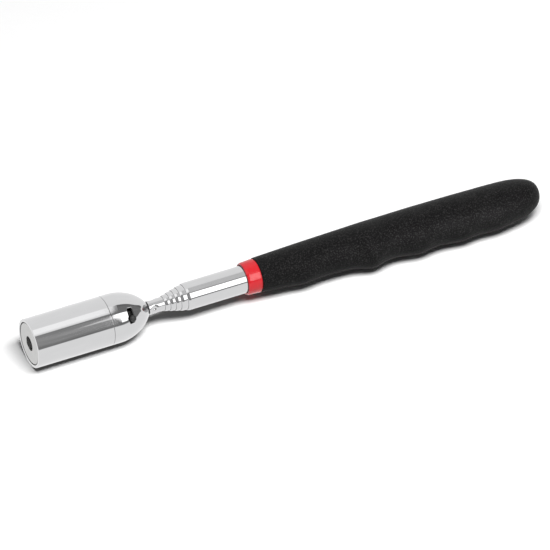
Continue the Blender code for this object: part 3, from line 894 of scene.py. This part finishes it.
# ---- what stays from the CAD -----------------------------------------------------------------
def finish_inner_parts():
    """Gives each hidden CAD part its own procedural finish."""
    brass = (0.72, 0.52, 0.22)
    steel = (0.48, 0.49, 0.50)
    makers = {
        "led_anode_lead": lambda n: metal(n, steel, 0.3),
        "led_cathode_lead": lambda n: metal(n, steel, 0.3),
        "led_board": board_green,
        "battery_contact": lambda n: metal(n, brass, 0.3),
        "switch_body": black_plastic,
        "switch_contact": lambda n: metal(n, brass, 0.28),
        "contact_spring": lambda n: metal(n, steel, 0.26),
        "battery_sleeve": lambda n: clear(n, (0.82, 0.83, 0.80), 0.2),
        "head_stud": lambda n: metal(n, steel, 0.3),
        "tube_end_cap": black_plastic,
    }
    for number in (1, 2, 3):
        makers[f"button_cell_{number}"] = lambda n: metal(n, (0.60, 0.60, 0.59), 0.24)
    for number in range(1, TUBE_COUNT):
        makers[f"friction_ring_{number}"] = lambda n: metal(n, brass, 0.3)
    for node, maker in makers.items():
        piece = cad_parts[node]
        piece.data.materials.clear()
        piece.data.materials.append(maker(f"{node}_finish"))


# ---- the studio ------------------------------------------------------------------------------
def make_floor():
    """White paper just under the tool, which shiny parts don't see."""
    size = 3.0
    mesh = bpy.data.meshes.new("studio_floor")
    shape = bmesh.new()
    bmesh.ops.create_grid(shape, x_segments=1, y_segments=1, size=size)
    shape.to_mesh(mesh)
    shape.free()
    look = Look("floor_paper", (0.86, 0.86, 0.86), 0.0, 0.9)
    tooth = look.noise((0.8, 0.8, 0.8), 3.0)
    look.colour(look.blend(tooth, (0.85, 0.85, 0.85), (0.87, 0.87, 0.87)))
    look.set("Specular IOR Level", 0.1)
    floor = add_object("studio_floor", mesh, look.material)
    floor.location.z = -0.02 * MM
    floor.visible_glossy = False


CARD_RADIUS = 0.25
SLANT = 0.3168  # how far along the tool the head's reflections run, per length across
SEAM_REFLECTION = (BARREL_REAR + DOME_FRONT) / 2 + SLANT * (CARD_RADIUS - HEAD_RADIUS)
CARD_LEVEL = 1.15  # brightness of the plain card, and of the panels that show as highlights
PANEL_LEVEL = 2.4
COLLAR_PANEL_LEVEL = 7.0
GRIP_PANEL_LEVEL = 16.0


def make_reflection_card():
    """A curved card over the tool's near side that only its shiny parts see."""
    low, high, steps = 1 * DEG, 128 * DEG, 60
    ends = (-0.7, 1.6)
    places, faces = [], []
    for i in range(steps + 1):
        angle = low + (high - low) * i / steps
        for x in ends:
            places.append((x, -math.cos(angle) * CARD_RADIUS, AXIS_Z + math.sin(angle) * CARD_RADIUS))
    for i in range(steps):
        faces.append((2 * i, 2 * i + 1, 2 * i + 3, 2 * i + 2))
    mesh = bpy.data.meshes.new("reflection_card")
    mesh.from_pydata(places, [], faces)
    card = add_object("reflection_card", mesh, CardLook().material)
    for kind in ("camera", "diffuse", "shadow", "transmission", "volume_scatter"):
        setattr(card, f"visible_{kind}", False)


class CardLook(Look):
    """Panels of light and dark on the card, placed by station and by height round the axis.

    Stations are millimetres behind the seam's reflection, and heights are degrees above -Y. The
    tubes and the dome see the same part of the card, the tubes from straight across and the dome at
    a slant, so the dark panels are louvred: straight across, they show the tubes a paler grey.
    """

    def __init__(self):
        super().__init__("card_panels", (0, 0, 0))
        self.tree.nodes.remove(self.shader)
        emission = self.node("ShaderNodeEmission")
        self.link(emission.outputs["Emission"], self.tree.nodes["Material Output"].inputs["Surface"])
        x, y, z = self.parts(self.place)
        self.station = self.product(self.math("SUBTRACT", x, SEAM_REFLECTION), 1 / MM)
        lift = self.math("SUBTRACT", z, AXIS_Z)
        self.height = self.product(self.math("ARCTAN2", lift, self.product(y, -1)), 1 / DEG)
        self.slant = self.run_along()
        straight_across = self.ramp(self.slant, SLANT + 0.029, SLANT + 0.020)
        tubes = self.product(self.within(self.station, 13, None, 1), straight_across)
        level = self.mix(self.head_panels(), tubes, self.tube_panels())
        rays = self.node("ShaderNodeLightPath")  # the card lights nothing by way of the chrome
        seen = self.product(level, self.ramp(rays.outputs["Diffuse Depth"], 1, 0))
        self.link(seen, emission.inputs["Strength"])

    def parts(self, vector):
        """The three components of a vector."""
        made = self.node("ShaderNodeSeparateXYZ")
        self.link(vector, made.inputs["Vector"])
        return (made.outputs[k] for k in "XYZ")

    def mix(self, base, share, level):
        """The base where share is 0 and the level where it is 1."""
        made = self.node("ShaderNodeMix", data_type="FLOAT")
        self.link(share, made.inputs[0])
        for socket, value in ((made.inputs[2], base), (made.inputs[3], level)):
            self.give(socket, value)
        return made.outputs[0]

    def product(self, *factors):
        result = factors[0]
        for factor in factors[1:]:
            result = self.math("MULTIPLY", result, factor)
        return result

    def ramp(self, value, low, high):
        """0 below low and 1 above high, or the reverse if low is above high."""
        made = self.node("ShaderNodeMapRange", interpolation_type="SMOOTHSTEP")
        self.link(value, made.inputs["Value"])
        self.give(made.inputs["From Min"], low)
        self.give(made.inputs["From Max"], high)
        return made.outputs["Result"]

    def within(self, value, low, high, soft):
        """1 between two edges, each blurred over twice soft; an edge may be None or a socket."""
        shares = []
        for edge, side in ((low, -1), (high, 1)):
            if edge is not None:
                outer = self.math("ADD", edge, side * soft)
                inner = self.math("ADD", edge, -side * soft)
                shares.append(self.ramp(value, outer, inner))
        return self.product(*shares)

    def run_along(self):
        """How far each ray runs along the tool, per length across."""
        geometry = self.node("ShaderNodeNewGeometry")
        along, y, z = self.parts(geometry.outputs["Incoming"])
        across = self.math("SQRT", self.math("ADD", self.product(y, y), self.product(z, z)))
        return self.product(self.math("DIVIDE", along, across), -1)

    def head_panels(self):
        """What the barrel and the dome show."""
        x, e = self.station, self.height
        # a bright strip along the barrel's top ends in a slanting edge just behind the seam
        strip_end = self.math("ADD", self.product(self.math("SUBTRACT", e, 66), 0.06), 0.5)
        strip = self.within(x, None, strip_end, 0.3)
        strip = self.product(strip, self.ramp(e, 68, 78), self.ramp(e, 99, 97.5))
        level = self.mix(CARD_LEVEL, strip, 1.5)
        level = self.barrel_shade(level)
        # two dark bands on the dome meet at its point, one above and one below the bright panel
        dome = self.within(x, 0.4, None, 0.2)
        behind_strip = self.within(x, strip_end, None, 0.3)
        top = self.math("ADD", self.product(self.ramp(x, 310, 990), 30.0), 98.0)
        upper = self.product(behind_strip, self.within(e, 57, top, 1.2))
        level = self.mix(level, upper, self.mix(0.25, self.ramp(e, 84, 97), 0.17))
        bottom = self.math("ADD", self.product(self.ramp(x, 240, 790), 14.0), 3.0)
        lower = self.product(dome, self.within(e, bottom, 57, 1.2))
        level = self.mix(level, lower, 0.24)
        panel_low = self.math("ADD", self.product(self.ramp(x, 6, 0), 29.0), 15.0)
        panel = self.within(e, panel_low, 57.5, 1.2)
        panel = self.product(dome, panel, self.within(x, None, 225, 30))
        return self.mix(level, panel, PANEL_LEVEL)

    def barrel_shade(self, level):
        """The barrel's cloudy dark band, with a pale streaked wedge that widens to the seam."""
        x, e = self.station, self.height
        barrel = self.within(x, None, 0.2, 0.2)
        shade = self.mix(0.27, self.ramp(e, 6, 30), 0.42)
        shade = self.mix(shade, self.ramp(e, 46, 64), 0.33)
        clouds = self.remap(self.noise((0.05, 0.05, 0.05), 3.0), 0.35, 0.65, 0.88, 1.15)
        band = self.product(barrel, self.ramp(e, 2, 5), self.ramp(e, 68, 66))
        level = self.mix(level, band, self.product(shade, clouds))
        spread = self.product(self.ramp(x, -24, 0), 5.5)
        offset = self.math("ABSOLUTE", self.math("SUBTRACT", e, 46))
        teeth = self.product(self.noise((1.3, 0.04, 0.04), 2.0), 6.0)
        reach = self.math("ADD", offset, teeth)
        inside = self.ramp(reach, self.math("ADD", spread, 3), spread)
        return self.mix(level, self.product(barrel, inside, self.ramp(x, -24, -6)), 0.95)

    def tube_panels(self):
        """What the tubes, the collar and the grip show."""
        e = self.height
        level = self.mix(CARD_LEVEL, self.within(e, 62, 105, 2.0), 0.84)
        level = self.mix(level, self.within(e, 58, 65, 1.5), 0.4)
        level = self.mix(level, self.within(e, 8, 17, 1.5), 0.2)
        collar = self.product(self.ramp(self.slant, 0.29, 0.26), self.within(self.station, 20, 45, 1))
        bright = self.mix(PANEL_LEVEL, collar, COLLAR_PANEL_LEVEL)
        front = self.within(self.station, None, 62.6, 0.3)
        level = self.mix(level, self.product(front, self.within(e, 16.5, 58, 0.8)), bright)
        grip = self.product(self.ramp(self.station, 64, 70), self.within(e, 0, 34, 6))
        return self.mix(level, grip, GRIP_PANEL_LEVEL)


def make_world():
    """White surroundings: bright to the eye and to the chrome, dim as a light on matt surfaces."""
    world = bpy.data.worlds.new("studio")
    bpy.context.scene.world = world
    world.use_nodes = True
    tree = world.node_tree
    background = tree.nodes["Background"]
    background.inputs["Color"].default_value = (1.0, 1.0, 1.0, 1.0)
    rays = tree.nodes.new("ShaderNodeLightPath")
    level = tree.nodes.new("ShaderNodeMapRange")
    level.inputs["To Min"].default_value = 1.16  # what shiny parts and the camera see
    level.inputs["To Max"].default_value = 0.10  # what lights the floor and the grip
    tree.links.new(rays.outputs["Diffuse Depth"], level.inputs["Value"])
    tree.links.new(level.outputs["Result"], background.inputs["Strength"])


def make_key_light():
    """A soft light above the tool, on the camera's side, that the chrome doesn't mirror."""
    data = bpy.data.lights.new("key_light", "AREA")
    data.shape = "RECTANGLE"
    data.size, data.size_y = 0.6, 0.34
    data.energy = 13.0
    light = bpy.data.objects.new("key_light", data)
    bpy.context.scene.collection.objects.link(light)
    light.location = (0.0, -0.34, 0.85)
    light.rotation_euler = (-light.location).to_track_quat("-Z", "Y").to_euler()
    light.visible_camera = False
    light.visible_glossy = False


def make_camera():
    """A long lens that looks down on the tool's finger side, a little from the head's end."""
    away = Vector(
        (
            -math.sin(CAMERA_AZIMUTH) * math.cos(CAMERA_ELEVATION),
            math.cos(CAMERA_AZIMUTH) * math.cos(CAMERA_ELEVATION),
            -math.sin(CAMERA_ELEVATION),
        )
    )
    right = Vector((math.cos(CAMERA_AZIMUTH), math.sin(CAMERA_AZIMUTH), 0))
    up = right.cross(away)
    target = Vector((FRONT, 0, AXIS_Z)) + right * TARGET_SHIFT[0] + up * TARGET_SHIFT[1]
    data = bpy.data.cameras.new("camera")
    data.sensor_width = 36.0
    data.lens = data.sensor_width * CAMERA_DISTANCE / FRAME_WIDTH
    data.clip_start, data.clip_end = 0.01, 100.0
    camera = bpy.data.objects.new("camera", data)
    bpy.context.scene.collection.objects.link(camera)
    camera.location = target - away * CAMERA_DISTANCE
    camera.rotation_euler = away.to_track_quat("-Z", "Y").to_euler()
    bpy.context.scene.camera = camera


# ---- build -----------------------------------------------------------------------------------
make_barrel()
make_magnet()
make_sleeve()
make_lamp()
make_seal()
make_dome()
make_slider_knob()
make_slider_foot()
for stage_number in range(1, TUBE_COUNT + 1):
    make_tube(stage_number)
make_collar()
make_grip()
finish_inner_parts()
make_floor()
make_reflection_card()
make_world()
make_key_light()
make_camera()
bpy.context.scene.view_settings.view_transform = "Standard"

bpy.context.view_layer.update()
